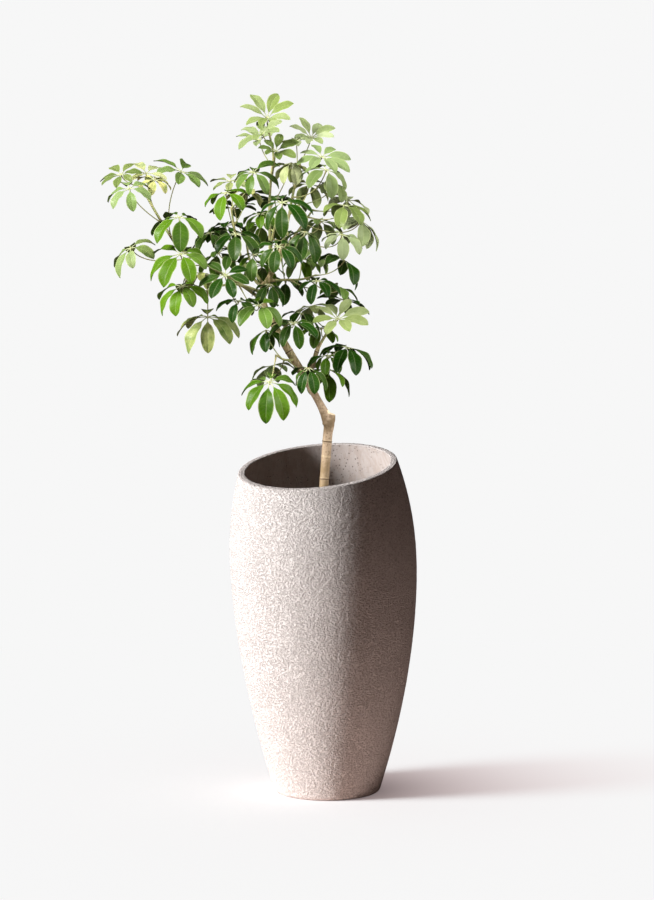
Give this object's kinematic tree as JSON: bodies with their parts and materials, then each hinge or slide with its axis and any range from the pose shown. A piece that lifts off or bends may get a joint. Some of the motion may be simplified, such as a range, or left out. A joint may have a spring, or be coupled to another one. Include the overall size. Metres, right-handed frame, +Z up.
{
  "type": "potted umbrella tree",
  "caption": "Dwarf umbrella tree with one bent trunk and a loose leaning crown of palmate leaves, in a tall egg-shaped stone planter whose rim is cut on a slant",
  "frame": {"origin": "middle of the flat foot that the pot stands on, on the floor", "axes": "+Z up along the pot's axis and the plant's height, -Y towards the camera, where the rim is lowest, +X to the right of the picture"},
  "size_m": [0.5575, 0.3438, 1.2347],
  "materials": {
    "cast_stone": "grained beige-grey cast stone, rough and dull",
    "potting_soil": "dark crumbly bark and peat potting mix",
    "bark": "tan woody trunk, dull, with ring scars",
    "leaf_green": "leathery glossy green leaves on paler stalks"
  },
  "bodies": {
    "root": {"pot": "cast_stone", "soil": "potting_soil", "trunk": "bark", "shoot_far_left": "leaf_green", "shoot_left_front": "leaf_green", "shoot_centre_left": "leaf_green", "shoot_top": "leaf_green", "shoot_upper_right": "leaf_green", "shoot_right": "leaf_green", "shoot_front": "leaf_green", "shoot_mid_right": "leaf_green", "shoot_second_limb": "leaf_green", "shoot_low_left": "leaf_green", "shoot_low_right": "leaf_green", "shoot_inner_front": "leaf_green", "shoot_back_left": "leaf_green", "shoot_back_right": "leaf_green"}
  },
  "joints": []
}
